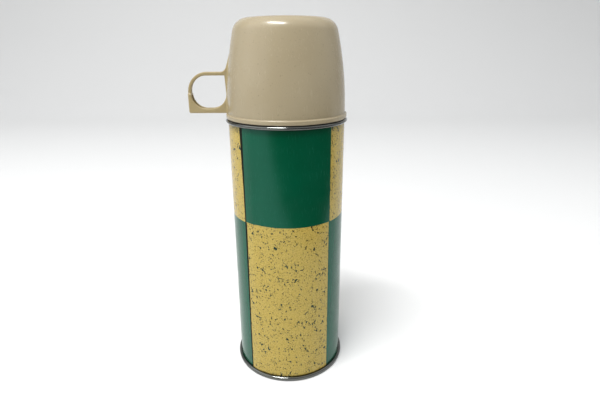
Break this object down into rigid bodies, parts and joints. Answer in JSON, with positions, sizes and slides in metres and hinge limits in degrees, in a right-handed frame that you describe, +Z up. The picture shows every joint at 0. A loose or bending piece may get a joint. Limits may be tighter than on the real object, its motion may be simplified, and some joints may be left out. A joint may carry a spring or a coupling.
{
  "type": "vacuum flask",
  "caption": "Pint vacuum flask with a printed tinplate case, glass filler, threaded stopper and a handled cup that screws on as the lid.",
  "frame": {"origin": "on the flask's axis, in the plane that its base rim stands on", "axes": "+Z up the axis, from the base to the cup; the cup's handle points along -X and the front panel of the jacket faces -Y"},
  "size_m": [0.1105, 0.0856, 0.2602],
  "materials": {
    "litho_tinplate": "gloss",
    "bright_tin": "polished",
    "silvered_glass": "polished",
    "pad": "matte",
    "grey_rubber": "matte",
    "black_rubber": "matte",
    "collar_plastic": "satin",
    "stopper_plastic": "satin",
    "foam": "matte",
    "cup_plastic": "satin"
  },
  "bodies": {
    "flask": {"jacket": "litho_tinplate", "base_plate": "bright_tin", "top_ring": "bright_tin", "outer_flask": "silvered_glass", "inner_flask": "silvered_glass", "spacer_pads": "pad", "base_cushion": "grey_rubber", "neck_gasket": "grey_rubber", "collar": "collar_plastic"},
    "stopper_seal": {"stopper_gasket": "grey_rubber"},
    "stopper": {"stopper_body": "stopper_plastic", "stopper_cap": "stopper_plastic", "stopper_insulation": "foam"},
    "seal_ring": {"rim_seal": "black_rubber"},
    "cup": {"cup": "cup_plastic"}
  },
  "joints": [
    {"name": "cup_turn", "type": "hinge", "parent": "flask", "child": "seal_ring", "pos_m": [0, 0, 0.1952], "axis": [0, 0, 1], "range_deg": [0, 1800]},
    {"name": "cup_lift", "type": "slide", "parent": "seal_ring", "child": "cup", "axis": [0, 0, 1], "range_m": [0, 0.06]},
    {"name": "stopper_lift", "type": "slide", "parent": "flask", "child": "stopper_seal", "axis": [0, 0, 1], "range_m": [0, 0.012]},
    {"name": "stopper_turn", "type": "hinge", "parent": "stopper_seal", "child": "stopper", "pos_m": [0, 0, 0.211], "axis": [0, 0, 1], "range_deg": [0, 1080]}
  ],
  "couplings": [
    {"joint": "cup_lift", "follows": "cup_turn", "m_per_rad": 0.0019098},
    {"joint": "stopper_lift", "follows": "stopper_turn", "m_per_rad": 0.00063661}
  ]
}
